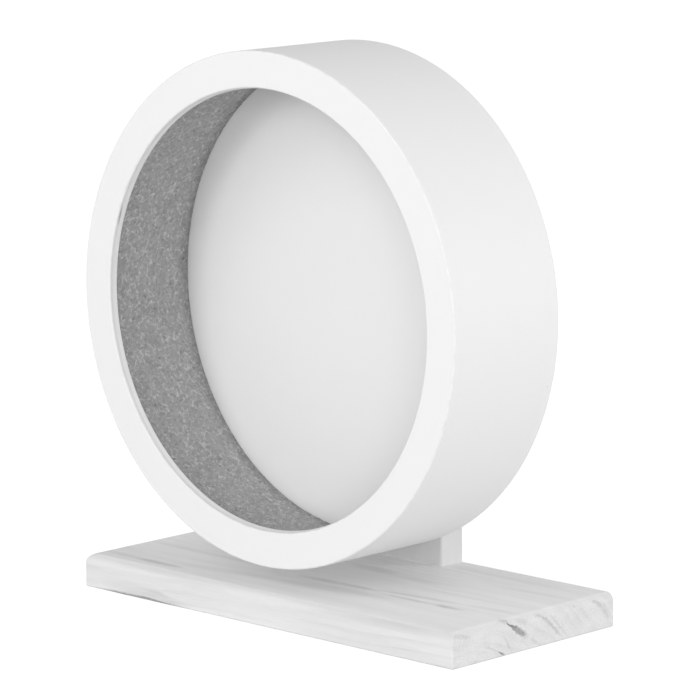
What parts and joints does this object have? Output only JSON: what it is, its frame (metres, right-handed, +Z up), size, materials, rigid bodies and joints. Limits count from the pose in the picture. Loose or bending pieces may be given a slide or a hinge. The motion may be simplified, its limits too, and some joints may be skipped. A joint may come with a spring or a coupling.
{
  "type": "hamster wheel",
  "caption": "Round pet exercise wheel: a white drum lined with a cork running mat, open at the front, turning on a ball-bearing hub bolted to an upright on a flat pine base.",
  "frame": {"origin": "centre of the base board's underside", "axes": "+Z up; the wheel's axle runs along Y; the open front of the drum faces -Y and the upright stands behind it at +Y; +X is to the right seen from the front"},
  "size_m": [0.282, 0.144, 0.3125],
  "materials": {
    "white_paint": "smooth satin white paint on bent plywood and board",
    "cork_mat": "matt granulated cork sheet with fine light and dark specks",
    "pine": "pale, lightly whitened pine with soft grain, edges rounded over",
    "zinc_casting": "cast light alloy, fine matt surface",
    "bearing_steel": "ground bearing steel",
    "zinc_plated": "bright zinc plating",
    "nylon": "natural nylon"
  },
  "bodies": {
    "stand": {"base_board": "pine", "upright_board": "pine", "base_screw_1": "zinc_plated", "base_screw_2": "zinc_plated", "axle_bolt": "zinc_plated", "race_spacer": "zinc_plated", "upright_spacer": "zinc_plated", "rear_washer": "zinc_plated", "lock_nut": "zinc_plated", "nut_insert": "nylon", "front_inner_race": "bearing_steel", "rear_inner_race": "bearing_steel"},
    "wheel": {"front_ring": "white_paint", "drum_wall": "white_paint", "running_mat": "cork_mat", "back_disc": "white_paint", "bearing_housing": "zinc_casting", "housing_screw_1": "zinc_plated", "housing_screw_2": "zinc_plated", "housing_screw_3": "zinc_plated", "housing_screw_4": "zinc_plated", "front_outer_race": "bearing_steel", "front_shield_front": "bearing_steel", "front_shield_back": "bearing_steel", "rear_outer_race": "bearing_steel", "rear_shield_front": "bearing_steel", "rear_shield_back": "bearing_steel"},
    "front_balls": {"front_ball_cage": "bearing_steel", "front_ball_1": "bearing_steel", "front_ball_2": "bearing_steel", "front_ball_3": "bearing_steel", "front_ball_4": "bearing_steel", "front_ball_5": "bearing_steel", "front_ball_6": "bearing_steel", "front_ball_7": "bearing_steel"},
    "rear_balls": {"rear_ball_cage": "bearing_steel", "rear_ball_1": "bearing_steel", "rear_ball_2": "bearing_steel", "rear_ball_3": "bearing_steel", "rear_ball_4": "bearing_steel", "rear_ball_5": "bearing_steel", "rear_ball_6": "bearing_steel", "rear_ball_7": "bearing_steel"}
  },
  "joints": [
    {"name": "wheel_spin", "type": "hinge", "parent": "stand", "child": "wheel", "pos_m": [0, 0, 0.1725], "axis": [0, 1, 0], "continuous": true},
    {"name": "front_cage_spin", "type": "hinge", "parent": "stand", "child": "front_balls", "pos_m": [0, 0, 0.1725], "axis": [0, 1, 0], "continuous": true},
    {"name": "rear_cage_spin", "type": "hinge", "parent": "stand", "child": "rear_balls", "pos_m": [0, 0, 0.1725], "axis": [0, 1, 0], "continuous": true}
  ],
  "couplings": [
    {"joint": "front_cage_spin", "follows": "wheel_spin", "ratio": 0.632},
    {"joint": "rear_cage_spin", "follows": "wheel_spin", "ratio": 0.632}
  ]
}
